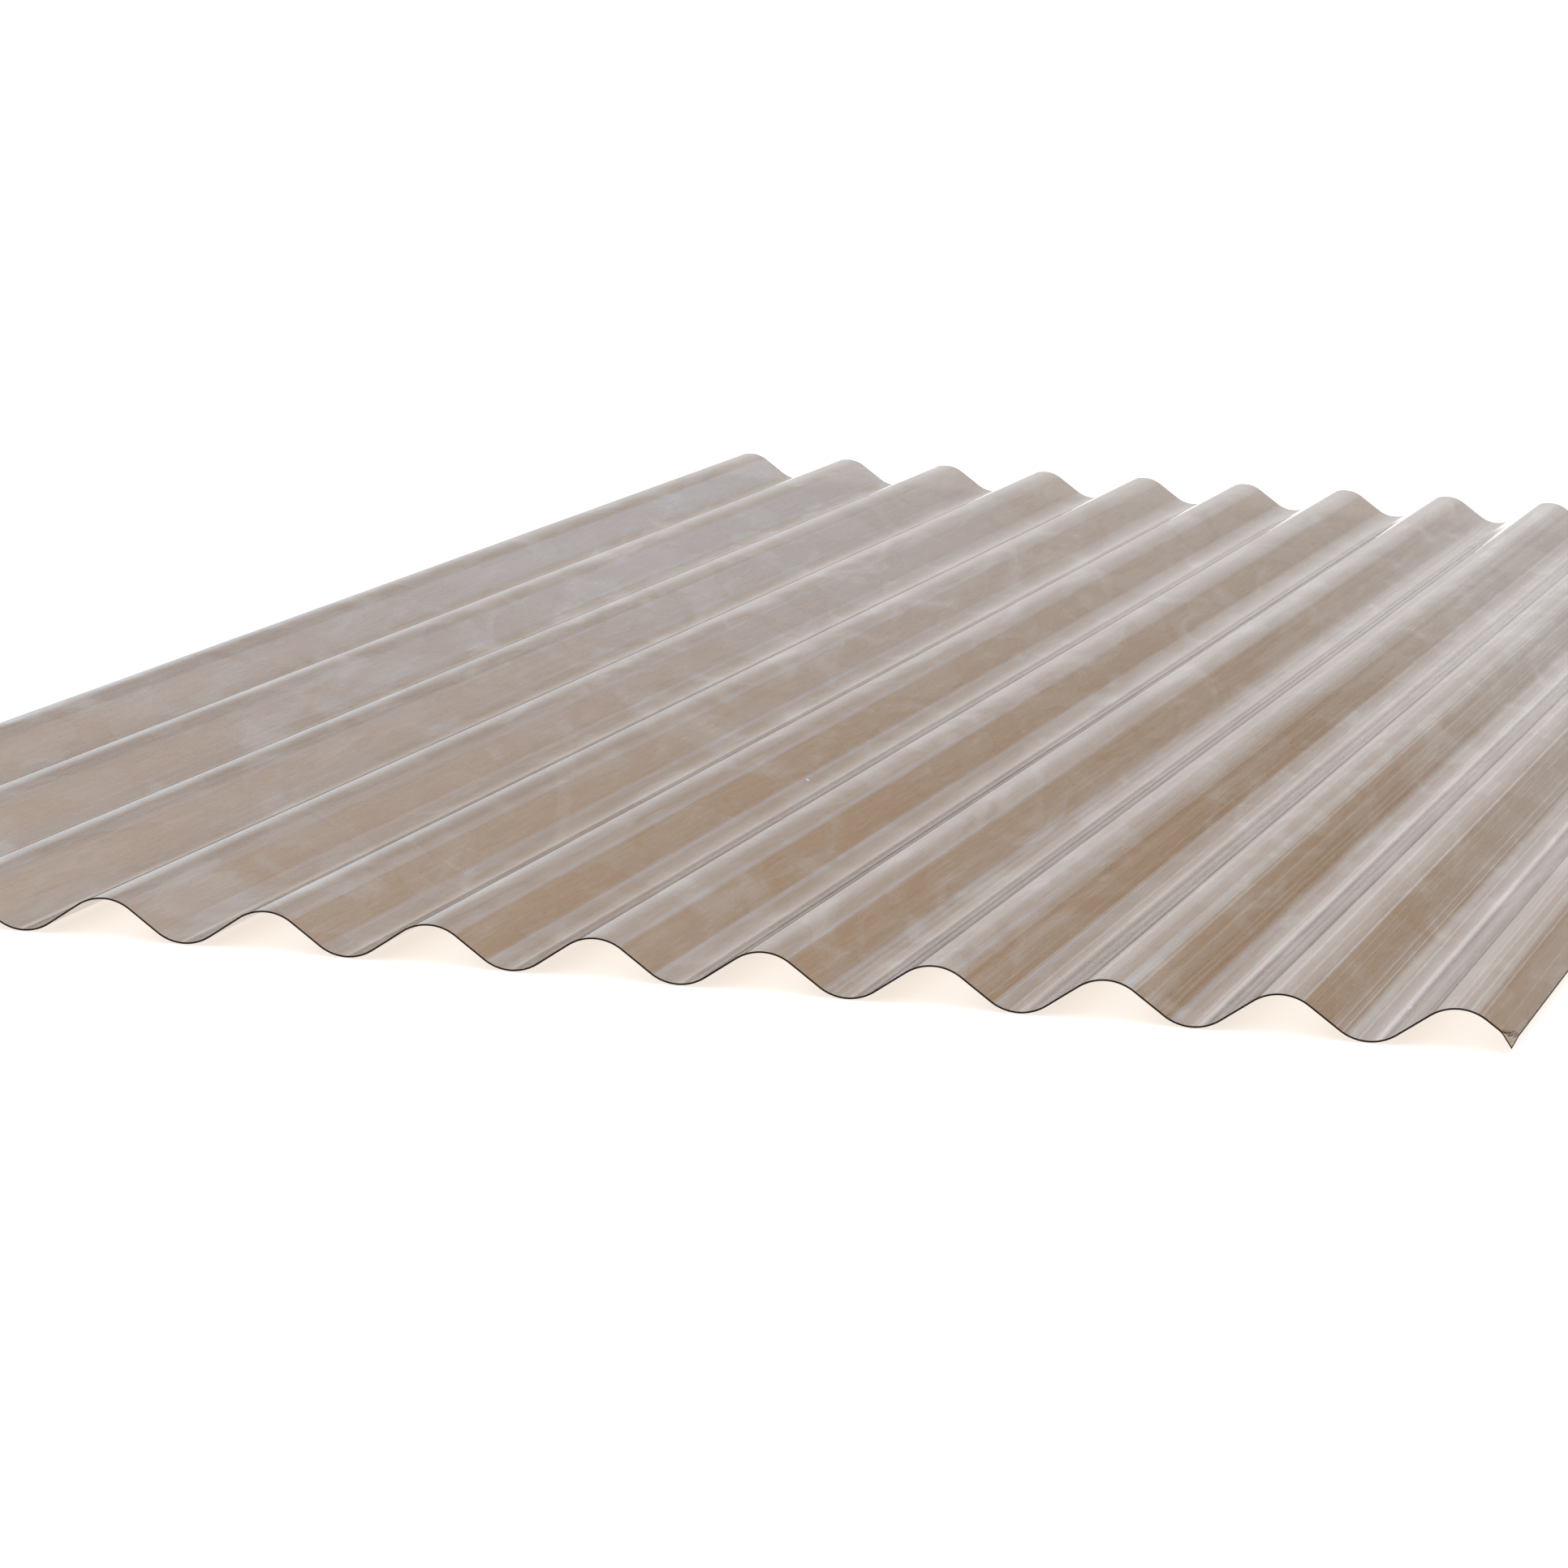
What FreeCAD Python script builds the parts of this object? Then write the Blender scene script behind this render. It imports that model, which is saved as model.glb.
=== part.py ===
import FreeCAD, Part
import math
import os

# A see-through corrugated roof sheet of extruded plastic, lying flat on its troughs.
# X runs across the corrugations, Y along them and Z up. The origin is at the middle
# of the sheet, level with the undersides of the troughs. All lengths are in millimetres.

# Driving dimensions
SHEET_LENGTH = 2000.0  # along the corrugations, from the eave end to the ridge end
PITCH = 76.0  # from one crest centre to the next
DEPTH = 18.0  # overall, from the trough undersides to the crest tops
GAUGE = 0.8  # thickness of the wall, the same all over
STRAIGHT_FLANK = 16.5  # flat run between a crest's bend and a trough's bend
CREST_COUNT = 12
LEFT_REACH = 40.0  # from the outermost crest centre to the cut side edge, on the left
RIGHT_REACH = 24.0  # and on the right

# Worked out from them. The middle line of the wall is a chain of equal bends, up and
# down by turns, joined by straight flanks that are tangent to both of their bends.
# The bends are counted from the middle one, which has as many crests on either side.
HALF_PITCH = PITCH / 2
MID_HEIGHT = DEPTH / 2
SWING = (DEPTH - GAUGE) / 2  # of the middle line, above and below its mean height
HALF_FLANK = STRAIGHT_FLANK / 2
FLANK_ANGLE = 2 * math.atan(SWING / (HALF_PITCH / 2 + HALF_FLANK))
BEND_RADIUS = (HALF_PITCH / 2 - HALF_FLANK * math.cos(FLANK_ANGLE)) / math.sin(FLANK_ANGLE)
LAST_CREST = CREST_COUNT - 1  # place of the outermost crest, in half pitches
SHEET_WIDTH = LEFT_REACH + LAST_CREST * PITCH + RIGHT_REACH
MIDDLE_BEND = (LEFT_REACH - RIGHT_REACH) / 2  # where it stands, from the sheet's middle
LONGER_REACH = max(LEFT_REACH, RIGHT_REACH)
SPARE_BENDS = math.ceil(LONGER_REACH / HALF_PITCH) + 1  # past the side edge, then cut off


def bend_points(place, offset):
    """Five even points along the bend that stands place half pitches from the middle one.

    The bend is an upright crest or an inverted trough, on the line that lies offset
    above the wall's middle line. The third point is its top, or its bottom.
    """
    upward = 1 if (place - LAST_CREST) % 2 == 0 else -1
    centre_x = MIDDLE_BEND + place * HALF_PITCH
    centre_z = MID_HEIGHT + upward * (SWING - BEND_RADIUS)
    radius = BEND_RADIUS + upward * offset
    return [
        FreeCAD.Vector(
            centre_x + radius * math.sin(turn),
            -SHEET_LENGTH / 2,
            centre_z + upward * radius * math.cos(turn),
        )
        for turn in (
            -FLANK_ANGLE,
            -FLANK_ANGLE / 2,
            0,
            FLANK_ANGLE / 2,
            FLANK_ANGLE,
        )
    ]


def bend_edges(bend):
    """The bend's two halves, which meet on the crest's or trough's centre line."""
    return [Part.Arc(*bend[:3]).toShape(), Part.Arc(*bend[2:]).toShape()]


def wave_edges(offset):
    """Bends and flanks of one face of the wall, in order from left to right."""
    furthest = LAST_CREST + SPARE_BENDS
    bends = [bend_points(place, offset) for place in range(-furthest, furthest + 1)]
    edges = []
    for bend, following in zip(bends, bends[1:]):
        edges += bend_edges(bend)
        edges.append(Part.LineSegment(bend[-1], following[0]).toShape())
    edges += bend_edges(bends[-1])
    return edges


def wall_section():
    """Closed section of the wall, cut square across the wave at its two ends."""
    top = wave_edges(GAUGE / 2)
    underside = wave_edges(-GAUGE / 2)
    left = Part.LineSegment(
        top[0].firstVertex().Point, underside[0].firstVertex().Point
    ).toShape()
    right = Part.LineSegment(
        top[-1].lastVertex().Point, underside[-1].lastVertex().Point
    ).toShape()
    edges = [left] + top + [right] + underside
    return Part.Face(Part.Wire(Part.__sortEdges__(edges)))


def roof_sheet():
    """The whole sheet: the section run to length, then trimmed to width."""
    blank = wall_section().extrude(FreeCAD.Vector(0, SHEET_LENGTH, 0))
    trim = Part.makeBox(
        SHEET_WIDTH,
        SHEET_LENGTH,
        DEPTH + 2 * GAUGE,
        FreeCAD.Vector(-SHEET_WIDTH / 2, -SHEET_LENGTH / 2, -GAUGE),
    )
    return blank.common(trim).Solids[0]


def main():
    os.makedirs("parts", exist_ok=True)
    sheet = roof_sheet()
    sheet.exportStep("parts/roof_sheet.step")
    box = sheet.BoundBox
    print("roof_sheet valid", sheet.isValid(), "volume", round(sheet.Volume, 1))
    print("box", round(box.XLength, 3), round(box.YLength, 3), round(box.ZLength, 3))
    print("bend radius", round(BEND_RADIUS, 3), "flank", round(math.degrees(FLANK_ANGLE), 3))


main()
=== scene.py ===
"""A clear bronze corrugated roof sheet, lying on its troughs on a pale studio floor.

X runs across the corrugations, Y along them and Z up, in metres, as in the frame.
"""

import logging
import math
from dataclasses import dataclass
from enum import Enum

import bpy
from mathutils import Matrix, Vector


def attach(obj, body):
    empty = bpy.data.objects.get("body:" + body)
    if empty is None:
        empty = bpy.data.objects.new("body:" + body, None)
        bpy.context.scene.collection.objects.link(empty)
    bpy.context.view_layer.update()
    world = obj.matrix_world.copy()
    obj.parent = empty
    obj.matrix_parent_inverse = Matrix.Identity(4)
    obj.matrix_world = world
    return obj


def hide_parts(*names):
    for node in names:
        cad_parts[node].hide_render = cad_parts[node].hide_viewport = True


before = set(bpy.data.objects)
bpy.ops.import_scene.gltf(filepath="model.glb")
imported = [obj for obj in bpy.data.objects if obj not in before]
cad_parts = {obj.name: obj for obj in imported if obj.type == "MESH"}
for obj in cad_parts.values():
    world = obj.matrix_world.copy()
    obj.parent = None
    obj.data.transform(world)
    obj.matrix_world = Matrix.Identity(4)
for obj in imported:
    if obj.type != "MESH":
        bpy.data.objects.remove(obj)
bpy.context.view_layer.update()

LOG = logging.getLogger("roof_sheet")
MM = 0.001
END_TO_END = 20000 * MM  # run of a mark ten times as long as the sheet, so no end of it shows


class Ray(Enum):
    """Light Path outputs that the materials tell apart."""

    CAMERA = "Is Camera Ray"
    SHADOW = "Is Shadow Ray"
    DIFFUSE = "Is Diffuse Ray"
    GLOSSY = "Is Glossy Ray"
    TRANSMISSION = "Is Transmission Ray"


def linear(hex_colour: str) -> tuple[float, float, float, float]:
    """Turn an sRGB hex colour into the linear colour that shaders take.

    Args:
        hex_colour: Six hex digits, with or without a leading hash.

    Returns:
        Linear red, green and blue, and an alpha of 1.
    """
    digits = hex_colour.lstrip("#")
    channels = []
    for start in (0, 2, 4):
        value = int(digits[start : start + 2], 16) / 255
        channels.append(value / 12.92 if value <= 0.04045 else ((value + 0.055) / 1.055) ** 2.4)
    return (*channels, 1.0)


def add_node(
    tree: bpy.types.NodeTree,
    kind: str,
    settings: dict[str, object] | None = None,
    inputs: dict[str | int, object] | None = None,
) -> bpy.types.Node:
    """Add a node to a tree, with its settings, its inputs' values and its links.

    Args:
        tree: The tree to add it to.
        kind: The node's type, as Blender names it.
        settings: Properties of the node itself.
        inputs: A value or another node's output for each input, by name or place.

    Returns:
        The new node.
    """
    node = tree.nodes.new(kind)
    for name, value in (settings or {}).items():
        setattr(node, name, value)
    for name, value in (inputs or {}).items():
        if isinstance(value, bpy.types.NodeSocket):
            tree.links.new(value, node.inputs[name])
        else:
            node.inputs[name].default_value = value
    return node


@dataclass(frozen=True)
class Wave:
    """The sheet's section: equal bends, up and down by turns, on tangent flanks.

    All sizes are in metres and repeat the frame's part.
    """

    pitch: float = 76 * MM
    depth: float = 18 * MM
    gauge: float = 0.8 * MM
    straight_flank: float = 16.5 * MM
    crests: int = 12
    left_reach: float = 40 * MM
    right_reach: float = 24 * MM
    length: float = 2000 * MM

    @property
    def width(self) -> float:
        """Overall width, from one cut side edge to the other."""
        return self.left_reach + (self.crests - 1) * self.pitch + self.right_reach

    @property
    def middle_trough(self) -> float:
        """Place of the trough that has six crests on either side, from the sheet's middle."""
        return (self.left_reach - self.right_reach) / 2

    @property
    def flank_angle(self) -> float:
        """Slope of the straight flanks, in radians."""
        swing = (self.depth - self.gauge) / 2
        return 2 * math.atan(swing / (self.pitch / 4 + self.straight_flank / 2))

    @property
    def bend_radius(self) -> float:
        """Radius of every bend at the middle of the wall."""
        reach = self.pitch / 4 - self.straight_flank / 2 * math.cos(self.flank_angle)
        return reach / math.sin(self.flank_angle)


class WaveTree:
    """A Geometry Nodes tree that waves a flat slab into a corrugated sheet."""

    SHARP_CORNER = math.radians(45)  # an edge that bends more than this is drawn sharp
    FACES_LEAN_LESS = math.radians(70)  # and what leans more than this is a cut edge
    CROWDING = 3.0  # power that shortens the rows' steps towards the two ends
    SIZES = (
        "Pitch",
        "Middle Trough",
        "Mid Height",
        "Flank Angle",
        "Bend Radius",
        "Width",
        "Length",
        "Gauge",
        "Fold Across",
        "Fold Along",
        "Fold Drop",
        "Fold Tuck",
    )
    COUNTS = ("Steps Across", "Steps Along")
    FINISHES = ("Face Finish", "Edge Finish")

    def __init__(self, name: str) -> None:
        """Make the tree's interface.

        Args:
            name: The node group's name.
        """
        self.tree = bpy.data.node_groups.new(name, "GeometryNodeTree")
        self.tree.is_modifier = True
        face = self.tree.interface
        face.new_socket("Geometry", in_out="OUTPUT", socket_type="NodeSocketGeometry")
        self.sockets = {
            size: face.new_socket(size, in_out="INPUT", socket_type="NodeSocketFloat")
            for size in self.SIZES
        }
        for count in self.COUNTS:
            self.sockets[count] = face.new_socket(
                count, in_out="INPUT", socket_type="NodeSocketInt"
            )
        for finish in self.FINISHES:
            self.sockets[finish] = face.new_socket(
                finish, in_out="INPUT", socket_type="NodeSocketMaterial"
            )
        self.given = add_node(self.tree, "NodeGroupInput").outputs

    def reckon(self, operation: str, *values: object) -> bpy.types.NodeSocket:
        """Work out one sum of fields or numbers.

        Args:
            operation: The Math node's operation.
            values: Its operands, each a number or another node's output.

        Returns:
            The result.
        """
        settings = {"operation": operation}
        node = add_node(self.tree, "ShaderNodeMath", settings, dict(enumerate(values)))
        return node.outputs[0]

    def rounding(
        self, distance: bpy.types.NodeSocket, radius: bpy.types.NodeSocket
    ) -> bpy.types.NodeSocket:
        """How far a bend lies inside the corner where its two flanks would meet.

        Args:
            distance: Distance across from the bend's centre line.
            radius: Radius of the bend on this face.

        Returns:
            A height, zero from the end of the bend outwards and negative on it.
        """
        angle = self.given["Flank Angle"]
        half_width = self.reckon("MULTIPLY", radius, self.reckon("SINE", angle))
        near = self.reckon("MINIMUM", distance, half_width)
        squares = self.reckon(
            "SUBTRACT", self.reckon("POWER", radius, 2.0), self.reckon("POWER", near, 2.0)
        )
        arc = self.reckon("SQRT", squares)
        foot = self.reckon("MULTIPLY", radius, self.reckon("COSINE", angle))
        rise = self.reckon(
            "MULTIPLY",
            self.reckon("SUBTRACT", half_width, near),
            self.reckon("TANGENT", angle),
        )
        return self.reckon("SUBTRACT", self.reckon("SUBTRACT", arc, foot), rise)

    def height(
        self, across: bpy.types.NodeSocket, offset: bpy.types.NodeSocket
    ) -> bpy.types.NodeSocket:
        """Height of a face of the wall, a distance across the sheet.

        Args:
            across: Distance from the sheet's middle.
            offset: How far the face lies above the wall's middle line.

        Returns:
            The face's height above the floor.
        """
        pitch = self.given["Pitch"]
        angle = self.given["Flank Angle"]
        radius = self.given["Bend Radius"]
        half_pitch = self.reckon("DIVIDE", pitch, 2.0)
        from_middle = self.reckon("SUBTRACT", across, self.given["Middle Trough"])
        from_trough = self.reckon("PINGPONG", from_middle, half_pitch)
        from_crest = self.reckon("SUBTRACT", half_pitch, from_trough)
        above_flank = self.reckon("DIVIDE", offset, self.reckon("COSINE", angle))
        climb = self.reckon(
            "MULTIPLY",
            self.reckon("SUBTRACT", from_trough, self.reckon("DIVIDE", pitch, 4.0)),
            self.reckon("TANGENT", angle),
        )
        flank = self.reckon("ADD", self.reckon("ADD", climb, above_flank), self.given["Mid Height"])
        crest = self.rounding(from_crest, self.reckon("ADD", radius, offset))
        trough = self.rounding(from_trough, self.reckon("SUBTRACT", radius, offset))
        return self.reckon("SUBTRACT", self.reckon("ADD", flank, crest), trough)

    def crowd(self, along: bpy.types.NodeSocket) -> bpy.types.NodeSocket:
        """Crowd the rows of points towards the sheet's two ends.

        Args:
            along: Distance along from the sheet's middle, in even rows.

        Returns:
            The same distance with short steps at the ends and long ones between.
        """
        half_length = self.reckon("DIVIDE", self.given["Length"], 2.0)
        share = self.reckon("DIVIDE", self.reckon("ABSOLUTE", along), half_length)
        from_end = self.reckon("POWER", self.reckon("SUBTRACT", 1.0, share), self.CROWDING)
        crowded = self.reckon("MULTIPLY", self.reckon("SUBTRACT", 1.0, from_end), half_length)
        return self.reckon("MULTIPLY", crowded, self.reckon("SIGN", along))

    def fold(
        self, across: bpy.types.NodeSocket, along: bpy.types.NodeSocket
    ) -> bpy.types.NodeSocket:
        """How much of the near right corner's fold a point takes.

        Args:
            across: Distance from the sheet's middle.
            along: Distance along from the sheet's middle.

        Returns:
            The share, 1 at the corner and 0 from the line of the fold on.
        """
        half_width = self.reckon("DIVIDE", self.given["Width"], 2.0)
        half_length = self.reckon("DIVIDE", self.given["Length"], 2.0)
        beside = self.reckon("SUBTRACT", half_width, across)
        behind = self.reckon("ADD", half_length, along)
        away = self.reckon(
            "ADD",
            self.reckon("DIVIDE", beside, self.given["Fold Across"]),
            self.reckon("DIVIDE", behind, self.given["Fold Along"]),
        )
        return self.reckon("MAXIMUM", self.reckon("SUBTRACT", 1.0, away), 0.0)

    def build(self) -> None:
        """Make the slab, wave it, and part its cut edges from its faces."""
        size = add_node(
            self.tree,
            "ShaderNodeCombineXYZ",
            inputs={"X": self.given["Width"], "Y": self.given["Length"], "Z": self.given["Gauge"]},
        )
        slab = add_node(
            self.tree,
            "GeometryNodeMeshCube",
            inputs={
                "Size": size.outputs[0],
                "Vertices X": self.given["Steps Across"],
                "Vertices Y": self.given["Steps Along"],
            },
        )
        place = add_node(
            self.tree,
            "ShaderNodeSeparateXYZ",
            inputs={0: add_node(self.tree, "GeometryNodeInputPosition").outputs[0]},
        ).outputs
        along = self.crowd(place["Y"])
        folded = self.fold(place["X"], along)
        tuck = self.reckon("MULTIPLY", folded, self.given["Fold Tuck"])
        drop = self.reckon("MULTIPLY", folded, self.given["Fold Drop"])
        height = self.height(place["X"], place["Z"])
        waved = add_node(
            self.tree,
            "ShaderNodeCombineXYZ",
            inputs={
                "X": self.reckon("SUBTRACT", place["X"], tuck),
                "Y": along,
                "Z": self.reckon("SUBTRACT", height, drop),
            },
        )
        sheet = add_node(
            self.tree,
            "GeometryNodeSetPosition",
            inputs={"Geometry": slab.outputs["Mesh"], "Position": waved.outputs[0]},
        )
        corner = add_node(self.tree, "GeometryNodeInputMeshEdgeAngle")
        sharp = add_node(
            self.tree,
            "FunctionNodeCompare",
            {"operation": "GREATER_THAN"},
            {0: corner.outputs["Unsigned Angle"], 1: self.SHARP_CORNER},
        )
        smooth = add_node(
            self.tree,
            "GeometryNodeSetShadeSmooth",
            {"domain": "EDGE"},
            {"Geometry": sheet.outputs[0], "Selection": sharp.outputs[0], "Shade Smooth": False},
        )
        real = add_node(
            self.tree, "GeometryNodeRealizeInstances", inputs={"Geometry": smooth.outputs[0]}
        )
        faces = add_node(
            self.tree,
            "GeometryNodeSetMaterial",
            inputs={"Geometry": real.outputs[0], "Material": self.given["Face Finish"]},
        )
        normal = add_node(
            self.tree,
            "ShaderNodeSeparateXYZ",
            inputs={0: add_node(self.tree, "GeometryNodeInputNormal").outputs[0]},
        ).outputs
        cut = add_node(
            self.tree,
            "FunctionNodeCompare",
            {"operation": "LESS_THAN"},
            {0: self.reckon("ABSOLUTE", normal["Z"]), 1: math.cos(self.FACES_LEAN_LESS)},
        )
        dressed = add_node(
            self.tree,
            "GeometryNodeSetMaterial",
            inputs={
                "Geometry": faces.outputs[0],
                "Selection": cut.outputs[0],
                "Material": self.given["Edge Finish"],
            },
        )
        add_node(self.tree, "NodeGroupOutput", inputs={0: dressed.outputs[0]})


@dataclass(frozen=True)
class FilmMark:
    """One kind of mark in the milky film: its size, its shape and how much it covers.

    The mark fades in between two levels of its noise, from starts to full. A lined mark
    is strongest on the bends and towards the right side edge, where it paints reflection
    streaks as well as lines in the plastic.
    """

    size: float
    run: float
    starts: float
    full: float
    cover: float
    swirl: float = 0.0
    detail: float = 2.0
    lined: bool = False


@dataclass(frozen=True)
class Scuff:
    """A small white knock in the face, at its place on the sheet."""

    across: float
    along: float
    half_width: float
    half_length: float


@dataclass(frozen=True)
class ClearBronzePlastic:
    """Polycarbonate, extruded and waved while hot, tinted bronze through its mass.

    It has a hard gloss on both faces. Its tint lies in the wall, so the eye sees it
    pale through the faces and nearly black along a cut edge, which is painted near-black
    shade. The die and the rollers leave lines along the bends; drawn strongest on the
    bends and towards the right side edge, they are also painted reflection streaks.
    Handling leaves a thin milky film in clouds and dried patches, and a few small knocks.
    The film also thickens towards the far end, where it is partly dusty and partly a
    painted sheen that pales that end.
    """

    tint: str = "#C09D63"
    density: float = 1000.0  # per metre, which is 0.8 straight through the wall
    ior: float = 1.58  # of polycarbonate
    roughness: float = 0.03
    film: str = "#E3DFDC"
    film_least: float = 0.01
    # Film that thickens along the sheet to the far end: partly dusty, partly a painted sheen that
    # pales the far end
    dust_and_sheen: float = 0.2
    dust_and_sheen_start: float = -300 * MM
    dust_and_sheen_full: float = 400 * MM
    film_marks: tuple[FilmMark, ...] = (
        # Clouds where the film is thicker
        FilmMark(34 * MM, 150 * MM, swirl=1.6, starts=0.48, full=0.74, cover=0.22, detail=4.0),
        # Dried patches with a clear outline
        FilmMark(80 * MM, 280 * MM, swirl=2.5, starts=0.5, full=0.52, cover=0.08),
        # Hairlines of about 0.1 mm, drawn 1 mm wide because finer ones wouldn't show
        FilmMark(1 * MM, 40 * MM, starts=0.4, full=0.75, cover=0.1),
        # Broad lines from the die and finer ones from the rollers, which also paint reflection
        # streaks where they are strong, on the bends and at the right
        FilmMark(11 * MM, END_TO_END, starts=0.49, full=0.6, cover=0.32, detail=5.0, lined=True),
        FilmMark(2.5 * MM, END_TO_END, starts=0.53, full=0.62, cover=0.3, lined=True),
    )
    # Where the long lines show, and with them the painted reflection streaks: faint at the left and
    # on the flanks, strongest on the bends at the right
    lines_least: float = 0.12
    lines_start: float = 40 * MM
    lines_full: float = 320 * MM
    lines_on_flanks: float = 0.45
    wave_middle: float = 9 * MM
    flanks_end: float = 2 * MM  # above the wave's middle, and below it
    bends_start: float = 5 * MM  # and where the lines have their full strength
    speck_spacing: float = 30 * MM
    speck_radius: float = 0.45 * MM
    scuffs: tuple[Scuff, ...] = (
        Scuff(394 * MM, -922 * MM, 0.9 * MM, 4.5 * MM),
        Scuff(-1.2 * MM, -433.6 * MM, 1.1 * MM, 1.8 * MM),
    )
    relief_size: float = 13 * MM
    relief_height: float = 0.05 * MM

    def ripple(
        self,
        tree: bpy.types.NodeTree,
        place: bpy.types.NodeSocket,
        size: float,
        run: float,
        swirl: float = 0.0,
        detail: float = 2.0,
    ) -> bpy.types.NodeSocket:
        """A noise that is drawn out along the waves.

        Args:
            tree: The material's tree.
            place: Object coordinates, in metres.
            size: Size of one ripple across the waves.
            run: Its length along them.
            swirl: How much it curls.
            detail: How many finer noises it carries, each half the size of the last.

        Returns:
            The noise, from 0 to 1.
        """
        stretched = add_node(
            tree,
            "ShaderNodeMapping",
            inputs={"Vector": place, "Scale": (1 / size, 1 / run, 1 / size)},
        )
        noise = add_node(
            tree,
            "ShaderNodeTexNoise",
            inputs={
                "Vector": stretched.outputs[0],
                "Scale": 1.0,
                "Detail": detail,
                "Distortion": swirl,
            },
        )
        return noise.outputs["Fac"]

    def absorption(self, tree: bpy.types.NodeTree) -> bpy.types.NodeSocket:
        """Add the tint inside the wall, which deepens with the way light goes through it.

        Args:
            tree: The material's tree.

        Returns:
            The absorption, to link to the material's volume.
        """
        inside = add_node(
            tree,
            "ShaderNodeVolumeAbsorption",
            inputs={"Color": linear(self.tint), "Density": self.density},
        )
        return inside.outputs[0]

    def line_and_glint_share(
        self,
        tree: bpy.types.NodeTree,
        across: bpy.types.NodeSocket,
        height: bpy.types.NodeSocket,
    ) -> bpy.types.NodeSocket:
        """Work out how strongly the long lines, and the painted reflection streaks with them, show
        at a place.

        Args:
            tree: The material's tree.
            across: Distance from the sheet's middle.
            height: Height above the floor, which tells a bend from a flank.

        Returns:
            The share, from 0 to 1.
        """
        to_right = add_node(
            tree,
            "ShaderNodeMapRange",
            {"interpolation_type": "SMOOTHSTEP"},
            {
                "Value": across,
                "From Min": self.lines_start,
                "From Max": self.lines_full,
                "To Min": self.lines_least,
            },
        )
        above_middle = add_node(
            tree, "ShaderNodeMath", {"operation": "SUBTRACT"}, {0: height, 1: self.wave_middle}
        )
        off_middle = add_node(
            tree, "ShaderNodeMath", {"operation": "ABSOLUTE"}, {0: above_middle.outputs[0]}
        )
        on_bends = add_node(
            tree,
            "ShaderNodeMapRange",
            {"interpolation_type": "SMOOTHSTEP"},
            {
                "Value": off_middle.outputs[0],
                "From Min": self.flanks_end,
                "From Max": self.bends_start,
                "To Min": self.lines_on_flanks,
            },
        )
        return add_node(
            tree,
            "ShaderNodeMath",
            {"operation": "MULTIPLY"},
            {0: to_right.outputs["Result"], 1: on_bends.outputs["Result"]},
        ).outputs[0]

    def film_cover(
        self, tree: bpy.types.NodeTree, place: bpy.types.NodeSocket
    ) -> bpy.types.NodeSocket:
        """Work out how much milky film lies on the plastic.

        Args:
            tree: The material's tree.
            place: Object coordinates, in metres.

        Returns:
            The share that the film covers, from 0 to 1.
        """
        spot = add_node(tree, "ShaderNodeSeparateXYZ", inputs={0: place}).outputs
        # Share of the long lines, which also places painted reflection streaks on the bends and at
        # the right
        line_and_glint_share = self.line_and_glint_share(tree, spot["X"], spot["Z"])
        # Film that thickens towards the far end, partly dusty and partly a painted sheen
        cover = add_node(
            tree,
            "ShaderNodeMapRange",
            inputs={
                "Value": spot["Y"],
                "From Min": self.dust_and_sheen_start,
                "From Max": self.dust_and_sheen_full,
                "To Min": self.film_least,
                "To Max": self.dust_and_sheen,
            },
        ).outputs["Result"]
        for mark in self.film_marks:
            level = self.ripple(tree, place, mark.size, mark.run, mark.swirl, mark.detail)
            marked = add_node(
                tree,
                "ShaderNodeMapRange",
                {"interpolation_type": "SMOOTHSTEP"},
                {
                    "Value": level,
                    "From Min": mark.starts,
                    "From Max": mark.full,
                    "To Max": mark.cover,
                },
            )
            cover = add_node(
                tree,
                "ShaderNodeMath",
                {"operation": "MULTIPLY_ADD"},
                {0: marked.outputs["Result"], 1: line_and_glint_share if mark.lined else 1.0, 2: cover},
            ).outputs[0]
        specks = add_node(
            tree,
            "ShaderNodeTexVoronoi",
            inputs={"Vector": place, "Scale": 1 / self.speck_spacing},
        )
        nearest_speck = (specks.outputs["Distance"], self.speck_radius / self.speck_spacing)
        knocks = [(self.away(tree, place, scuff), 1.0) for scuff in self.scuffs]
        for distance, reach in (nearest_speck, *knocks):
            inside = add_node(
                tree, "ShaderNodeMath", {"operation": "LESS_THAN"}, {0: distance, 1: reach}
            )
            cover = add_node(
                tree, "ShaderNodeMath", {"operation": "MAXIMUM"}, {0: cover, 1: inside.outputs[0]}
            ).outputs[0]
        return cover

    def away(
        self, tree: bpy.types.NodeTree, place: bpy.types.NodeSocket, scuff: Scuff
    ) -> bpy.types.NodeSocket:
        """Work out how far a place lies from a scuff.

        Args:
            tree: The material's tree.
            place: Object coordinates, in metres.
            scuff: The scuff.

        Returns:
            The distance, which is 1 on the scuff's outline.
        """
        scale = Vector((1 / scuff.half_width, 1 / scuff.half_length, 0.0))
        from_scuff = add_node(
            tree,
            "ShaderNodeMapping",
            inputs={
                "Vector": place,
                "Location": (-scuff.across * scale.x, -scuff.along * scale.y, 0.0),
                "Scale": scale,
            },
        )
        return add_node(
            tree,
            "ShaderNodeVectorMath",
            {"operation": "LENGTH"},
            {0: from_scuff.outputs[0]},
        ).outputs["Value"]

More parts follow.
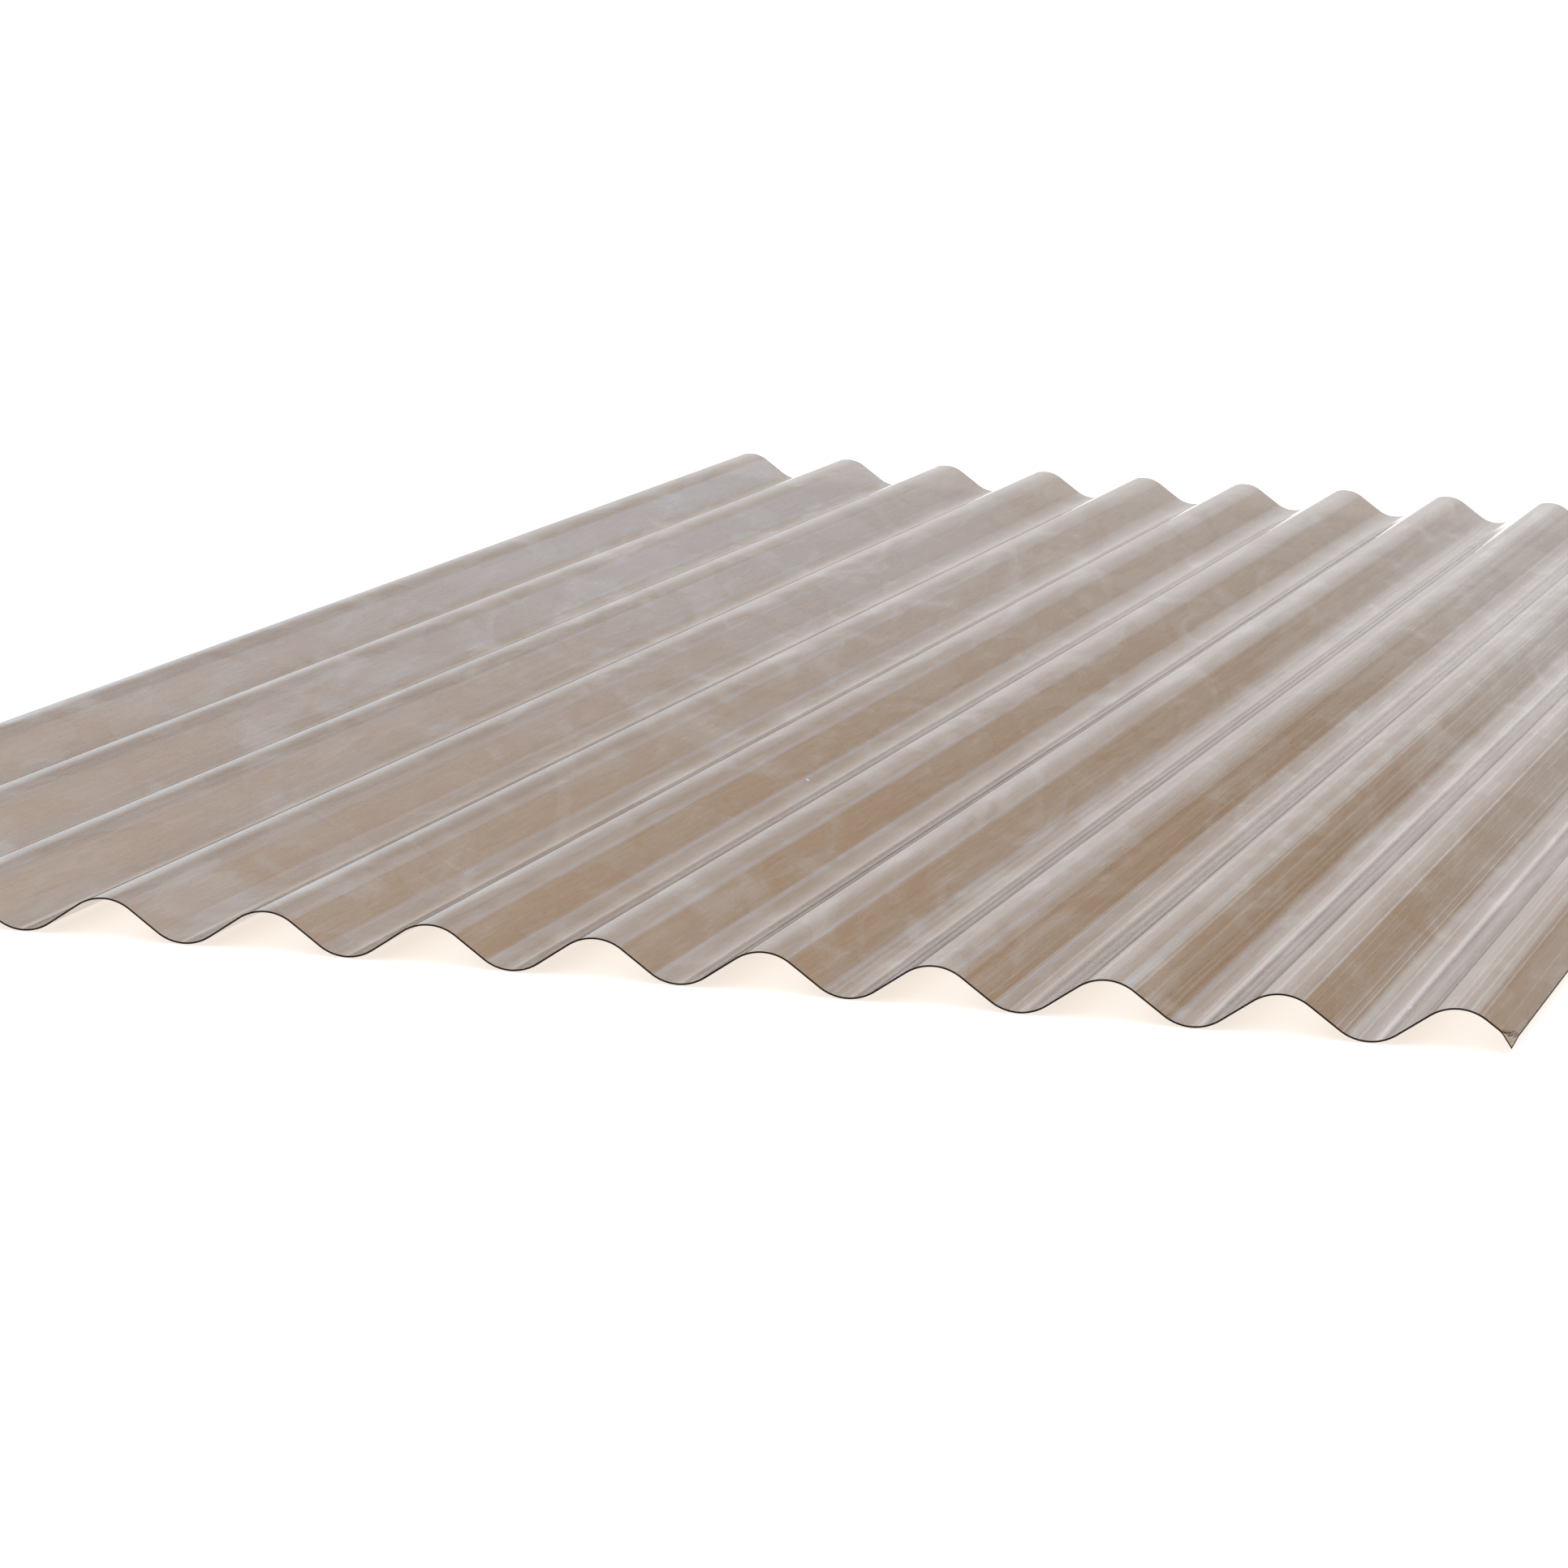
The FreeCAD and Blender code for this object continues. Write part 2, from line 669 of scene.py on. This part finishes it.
    def material(self) -> bpy.types.Material:
        """Build the plastic as a material.

        Returns:
            The material, with its tint as absorption in the wall.
        """
        material = bpy.data.materials.new("clear_bronze_plastic")
        material.use_nodes = True
        tree = material.node_tree
        tree.nodes.clear()
        place = add_node(tree, "ShaderNodeTexCoord").outputs["Object"]
        relief = add_node(
            tree,
            "ShaderNodeBump",
            inputs={
                "Height": self.ripple(tree, place, self.relief_size, END_TO_END),
                "Distance": self.relief_height,
            },
        )
        bare = add_node(
            tree,
            "ShaderNodeMath",
            {"operation": "SUBTRACT"},
            {0: 1.0, 1: self.film_cover(tree, place)},
        )
        plastic = add_node(
            tree,
            "ShaderNodeBsdfPrincipled",
            inputs={
                "Base Color": linear(self.film),
                "Roughness": self.roughness,
                "IOR": self.ior,
                "Transmission Weight": bare.outputs[0],
                "Normal": relief.outputs[0],
            },
        )
        clear = add_node(tree, "ShaderNodeBsdfTransparent")
        path = add_node(tree, "ShaderNodeLightPath").outputs
        lamp_ray = add_node(
            tree,
            "ShaderNodeMath",
            {"operation": "MAXIMUM"},
            {0: path[Ray.SHADOW.value], 1: path[Ray.DIFFUSE.value]},
        )
        surface = add_node(
            tree,
            "ShaderNodeMixShader",
            inputs={0: lamp_ray.outputs[0], 1: plastic.outputs[0], 2: clear.outputs[0]},
        )
        add_node(
            tree,
            "ShaderNodeOutputMaterial",
            inputs={"Surface": surface.outputs[0], "Volume": self.absorption(tree)},
        )
        return material


@dataclass(frozen=True)
class SawnEdge:
    """The sheet's cut edges, sawn square, which leaves them matt.

    They are painted nearly black: a painted shade for the light that the tinted wall
    swallows where the eye looks along it and not through it. The saw's marks are drawn coarser than
    real ones, so that they show.
    """

    # Painted shade, near black, mottled paler by the saw's marks
    colour: str = "#0E0906"
    paler: str = "#1F150F"
    roughness: float = 0.8
    specular: float = 0.15
    tooth: float = 2.5 * MM

    def material(self, inside: ClearBronzePlastic) -> bpy.types.Material:
        """Build the edge as a material.

        Args:
            inside: The plastic behind the edge, which keeps its tint.

        Returns:
            The material.
        """
        material = bpy.data.materials.new("sawn_edge")
        material.use_nodes = True
        tree = material.node_tree
        tree.nodes.clear()
        place = add_node(tree, "ShaderNodeTexCoord").outputs["Object"]
        marks = add_node(
            tree,
            "ShaderNodeTexNoise",
            inputs={"Vector": place, "Scale": 1 / self.tooth},
        )
        tone = add_node(
            tree,
            "ShaderNodeMix",
            {"data_type": "RGBA"},
            {
                "Factor": marks.outputs["Fac"],
                "A": linear(self.colour),
                "B": linear(self.paler),
            },
        )
        edge = add_node(
            tree,
            "ShaderNodeBsdfPrincipled",
            inputs={
                "Base Color": tone.outputs["Result"],
                "Roughness": self.roughness,
                "IOR": inside.ior,
                "Specular IOR Level": self.specular,
            },
        )
        add_node(
            tree,
            "ShaderNodeOutputMaterial",
            inputs={"Surface": edge.outputs[0], "Volume": inside.absorption(tree)},
        )
        return material


@dataclass
class RoofSheet:
    """The corrugated sheet, waved by Geometry Nodes and dressed in clear plastic.

    A knock has folded the tip of its near right corner down.
    """

    wave: Wave
    plastic: ClearBronzePlastic
    edge: SawnEdge
    node: str = "roof_sheet"
    fold_across: float = 5.5 * MM
    fold_along: float = 14 * MM
    fold_drop: float = 2.8 * MM
    fold_tuck: float = 0.8 * MM
    step_across: float = 1 * MM
    step_along: float = 50 * MM

    def build(self) -> bpy.types.Object:
        """Make the sheet as a plain mesh that stands for the frame's part.

        Returns:
            The finished piece.
        """
        tree = WaveTree("waved_sheet")
        tree.build()
        values = {
            "Pitch": self.wave.pitch,
            "Middle Trough": self.wave.middle_trough,
            "Mid Height": self.wave.depth / 2,
            "Flank Angle": self.wave.flank_angle,
            "Bend Radius": self.wave.bend_radius,
            "Width": self.wave.width,
            "Length": self.wave.length,
            "Gauge": self.wave.gauge,
            "Fold Across": self.fold_across,
            "Fold Along": self.fold_along,
            "Fold Drop": self.fold_drop,
            "Fold Tuck": self.fold_tuck,
            "Steps Across": round(self.wave.width / self.step_across) + 1,
            "Steps Along": round(self.wave.length / self.step_along) + 1,
            "Face Finish": self.plastic.material(),
            "Edge Finish": self.edge.material(self.plastic),
        }
        blank = bpy.data.objects.new("blank", bpy.data.meshes.new("blank"))
        bpy.context.scene.collection.objects.link(blank)
        modifier = blank.modifiers.new("wave", "NODES")
        modifier.node_group = tree.tree
        for name, value in values.items():
            modifier[tree.sockets[name].identifier] = value
        evaluated = blank.evaluated_get(bpy.context.evaluated_depsgraph_get())
        mesh = bpy.data.meshes.new_from_object(evaluated)
        bpy.data.objects.remove(blank)
        mesh.name = "clear_sheet"
        sheet = bpy.data.objects.new("clear_sheet", mesh)
        bpy.context.scene.collection.objects.link(sheet)
        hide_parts(self.node)
        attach(sheet, "root")
        LOG.info("%s: %d faces", sheet.name, len(mesh.polygons))
        return sheet


@dataclass(frozen=True)
class Softbox:
    """A soft light low on the tent's wall, ahead of the camera and again behind it.

    Azimuths run from +Y towards +X, and heights from the floor, in degrees. The blur is
    how far a side fades, inwards and outwards, and the fade is that of top and bottom.
    """

    colour: str
    left: float
    right: float
    bottom: float
    top: float
    blur: float
    fade: float

    def cover(
        self,
        tree: bpy.types.NodeTree,
        azimuth: bpy.types.NodeSocket,
        height: bpy.types.NodeSocket,
    ) -> bpy.types.NodeSocket:
        """Work out how much of the light covers a direction.

        Args:
            tree: The world's tree.
            azimuth: The direction's azimuth, in radians.
            height: Its height above the floor, in radians.

        Returns:
            The share, from 0 to 1.
        """
        share = 1.0
        for value, outside, inside in (
            (azimuth, self.left - self.blur, self.left + self.blur),
            (azimuth, self.right + self.blur, self.right - self.blur),
            (height, self.bottom - self.fade, self.bottom + self.fade),
            (height, self.top + self.fade, self.top - self.fade),
        ):
            edge = add_node(
                tree,
                "ShaderNodeMapRange",
                {"interpolation_type": "SMOOTHSTEP"},
                {
                    "Value": value,
                    "From Min": math.radians(outside),
                    "From Max": math.radians(inside),
                },
            )
            share = add_node(
                tree,
                "ShaderNodeMath",
                {"operation": "MULTIPLY"},
                {0: share, 1: edge.outputs["Result"]},
            ).outputs[0]
        return share


@dataclass
class Studio:
    """A pale floor under a soft tent of light, and the camera at the photo's angle.

    Each softbox covers those before it, so their order counts.
    """

    floor_size: float = 600.0
    floor_gap: float = 0.5 * MM  # below the sheet, so that the two don't share a face
    floor_colour: str = "#F2F1EF"
    floor_lift: float = 0.42  # light of its own, which makes the open floor white
    wall_colour: str = "#B4BBC5"
    softboxes: tuple[Softbox, ...] = (
        # Even grey all round, up to where the roof's light begins
        Softbox("#ADABA9", left=-90, right=90, bottom=-10, top=18, blur=1, fade=1.5),
        # Broad and pale, from the left to straight ahead
        Softbox("#EBE9EC", left=-70, right=2, bottom=-10, top=12, blur=6, fade=7.5),
        # Dim and warm, high at the right
        Softbox("#8D7860", left=3, right=60, bottom=10.5, top=22, blur=2.5, fade=1.2),
        # Pale all round, along the foot of the wall
        Softbox("#E4E0E0", left=-90, right=90, bottom=-10, top=7, blur=1, fade=2),
        # The brightest, at the left
        Softbox("#F0F5FA", left=-70, right=-19, bottom=-10, top=17, blur=3, fade=3),
        # Narrow and cool, high and straight ahead
        Softbox("#BFCDE0", left=-1, right=2.2, bottom=14.5, top=22, blur=2, fade=1.5),
    )
    roof_colour: str = "#FFFFFF"
    roof_strength: float = 1.25
    roof_starts: float = math.radians(20)
    roof_full: float = math.radians(45)
    camera_place: tuple[float, float, float] = (0.7845, -3.6041, 0.5161)
    camera_yaw: float = math.radians(14.135)
    camera_pitch: float = math.radians(8.973)
    camera_roll: float = math.radians(2.034)
    focal_pixels: float = 7754.8  # in a picture that is frame_pixels wide
    frame_pixels: float = 1932.0
    sensor: float = 36.0  # in millimetres, as the lens

    def floor(self) -> bpy.types.Object:
        """Lay the floor, which keeps shadows and is white where nothing shades it.

        Returns:
            The floor.
        """
        half = self.floor_size / 2
        mesh = bpy.data.meshes.new("floor")
        corners = [(-half, -half), (half, -half), (half, half), (-half, half)]
        mesh.from_pydata([(x, y, -self.floor_gap) for x, y in corners], [], [(0, 1, 2, 3)])
        floor = bpy.data.objects.new("floor", mesh)
        bpy.context.scene.collection.objects.link(floor)
        material = bpy.data.materials.new("pale_floor")
        material.use_nodes = True
        tree = material.node_tree
        tree.nodes.clear()
        matt = add_node(
            tree, "ShaderNodeBsdfDiffuse", inputs={"Color": linear(self.floor_colour)}
        )
        path = add_node(tree, "ShaderNodeLightPath").outputs
        seen = path[Ray.CAMERA.value]
        for ray in (Ray.GLOSSY, Ray.TRANSMISSION):
            seen = add_node(
                tree,
                "ShaderNodeMath",
                {"operation": "MAXIMUM"},
                {0: seen, 1: path[ray.value]},
            ).outputs[0]
        lift = add_node(
            tree,
            "ShaderNodeMath",
            {"operation": "MULTIPLY"},
            {0: seen, 1: self.floor_lift},
        )
        glow = add_node(tree, "ShaderNodeEmission", inputs={"Strength": lift.outputs[0]})
        both = add_node(
            tree, "ShaderNodeAddShader", inputs={0: matt.outputs[0], 1: glow.outputs[0]}
        )
        add_node(tree, "ShaderNodeOutputMaterial", inputs={"Surface": both.outputs[0]})
        mesh.materials.append(material)
        return floor

    def tent(self) -> bpy.types.World:
        """Light the scene from a bright roof, over dimmer walls with softboxes on them.

        Returns:
            The world.
        """
        world = bpy.data.worlds.new("tent")
        bpy.context.scene.world = world
        world.use_nodes = True
        tree = world.node_tree
        tree.nodes.clear()
        direction = add_node(tree, "ShaderNodeTexCoord").outputs["Generated"]
        parts = add_node(tree, "ShaderNodeSeparateXYZ", inputs={0: direction}).outputs
        ahead = add_node(tree, "ShaderNodeMath", {"operation": "ABSOLUTE"}, {0: parts["Y"]})
        azimuth = add_node(
            tree, "ShaderNodeMath", {"operation": "ARCTAN2"}, {0: parts["X"], 1: ahead.outputs[0]}
        )
        height = add_node(tree, "ShaderNodeMath", {"operation": "ARCSINE"}, {0: parts["Z"]})
        light = add_node(
            tree, "ShaderNodeBackground", inputs={"Color": linear(self.wall_colour)}
        ).outputs[0]
        for softbox in self.softboxes:
            shine = add_node(
                tree, "ShaderNodeBackground", inputs={"Color": linear(softbox.colour)}
            )
            light = add_node(
                tree,
                "ShaderNodeMixShader",
                inputs={
                    0: softbox.cover(tree, azimuth.outputs[0], height.outputs[0]),
                    1: light,
                    2: shine.outputs[0],
                },
            ).outputs[0]
        roof = add_node(
            tree,
            "ShaderNodeBackground",
            inputs={"Color": linear(self.roof_colour), "Strength": self.roof_strength},
        )
        roof_cover = add_node(
            tree,
            "ShaderNodeMapRange",
            {"interpolation_type": "SMOOTHSTEP"},
            {
                "Value": height.outputs[0],
                "From Min": self.roof_starts,
                "From Max": self.roof_full,
            },
        )
        sky = add_node(
            tree,
            "ShaderNodeMixShader",
            inputs={0: roof_cover.outputs["Result"], 1: light, 2: roof.outputs[0]},
        )
        add_node(tree, "ShaderNodeOutputWorld", inputs={"Surface": sky.outputs[0]})
        return world

    def camera(self) -> bpy.types.Object:
        """Stand the camera low at the sheet's right, looking left along it.

        Returns:
            The camera.
        """
        data = bpy.data.cameras.new("camera")
        data.sensor_fit = "HORIZONTAL"
        data.sensor_width = self.sensor
        data.lens = self.focal_pixels / self.frame_pixels * self.sensor
        data.clip_end = 2 * self.floor_size
        camera = bpy.data.objects.new("camera", data)
        bpy.context.scene.collection.objects.link(camera)
        upright = Matrix.Rotation(math.radians(90), 4, "X")
        yaw = Matrix.Rotation(self.camera_yaw, 4, "Z")
        pitch = Matrix.Rotation(-self.camera_pitch, 4, "X")
        roll = Matrix.Rotation(self.camera_roll, 4, "Z")
        place = Matrix.Translation(Vector(self.camera_place))
        camera.matrix_world = place @ yaw @ pitch @ upright @ roll
        bpy.context.scene.camera = camera
        return camera

    def build(self) -> None:
        """Set up the floor, the light, the camera and the plain view transform."""
        self.floor()
        self.tent()
        self.camera()
        bpy.context.scene.view_settings.view_transform = "Standard"


def main() -> None:
    """Build the sheet and its studio."""
    logging.basicConfig(level=logging.INFO)
    RoofSheet(Wave(), ClearBronzePlastic(), SawnEdge()).build()
    Studio().build()


if __name__ == "__main__":
    main()
